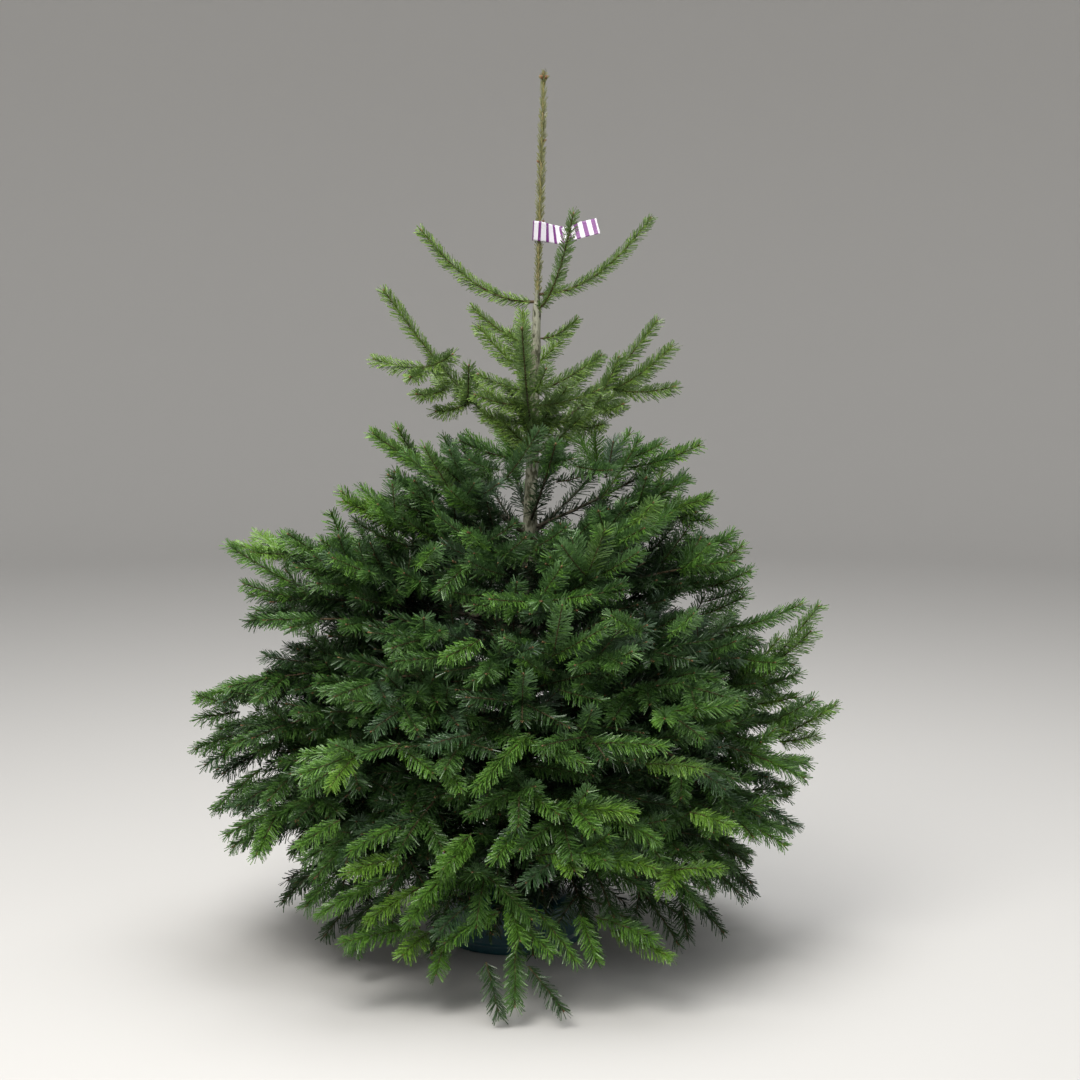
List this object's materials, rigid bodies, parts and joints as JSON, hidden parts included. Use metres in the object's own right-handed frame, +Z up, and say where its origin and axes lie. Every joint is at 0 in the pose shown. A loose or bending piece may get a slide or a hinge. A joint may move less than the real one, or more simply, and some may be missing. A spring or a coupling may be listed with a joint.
{
  "type": "cut fir christmas tree in a stand",
  "caption": "A cut fir Christmas tree, open and slender at the top and dense below, standing upright in a low round plastic stand.",
  "frame": {"origin": "middle of the stand's flat underside, on the surface that it stands on", "axes": "+Z up the tree, -Y towards the side that the picture shows, +X to that view's right"},
  "size_m": [1.3844, 1.2946, 1.8871],
  "materials": {
    "bark": "rough grey bark",
    "needles": "waxy green needles on brown twigs",
    "stand_plastic": "satin moulded plastic",
    "zinc_screws": "zinc plated"
  },
  "bodies": {
    "root": {"bough_6_1": "bark", "bough_6_2": "bark", "bough_6_3": "bark", "bough_6_4": "bark", "bough_6_5": "bark", "bough_7_1": "bark", "bough_7_2": "bark", "bough_7_3": "bark", "bough_7_4": "bark", "bough_7_5": "bark", "clamp_screw_1": "zinc_screws", "clamp_screw_2": "zinc_screws", "clamp_screw_3": "zinc_screws", "foliage_10_1": "needles", "foliage_10_2": "needles", "foliage_10_3": "needles", "foliage_10_4": "needles", "foliage_10_5": "needles", "foliage_10_6": "needles", "foliage_1_1": "needles", "foliage_1_2": "needles", "foliage_1_3": "needles", "foliage_2_1": "needles", "foliage_2_2": "needles", "foliage_3_1": "needles", "foliage_3_2": "needles", "foliage_3_3": "needles", "foliage_3_4": "needles", "foliage_4_1": "needles", "foliage_4_2": "needles", "foliage_4_3": "needles", "foliage_4_4": "needles", "foliage_4_5": "needles", "foliage_4_6": "needles", "foliage_5_1": "needles", "foliage_5_2": "needles", "foliage_5_3": "needles", "foliage_5_4": "needles", "foliage_5_5": "needles", "foliage_5_6": "needles", "foliage_6_1": "needles", "foliage_6_2": "needles", "foliage_6_3": "needles", "foliage_6_4": "needles", "foliage_6_5": "needles", "foliage_7_1": "needles", "foliage_7_2": "needles", "foliage_7_3": "needles", "foliage_7_4": "needles", "foliage_7_5": "needles", "foliage_8_1": "needles", "foliage_8_2": "needles", "foliage_8_3": "needles", "foliage_8_4": "needles", "foliage_8_5": "needles", "foliage_9_1": "needles", "foliage_9_2": "needles", "foliage_9_3": "needles", "stand": "stand_plastic", "trunk": "bark"}
  },
  "joints": []
}
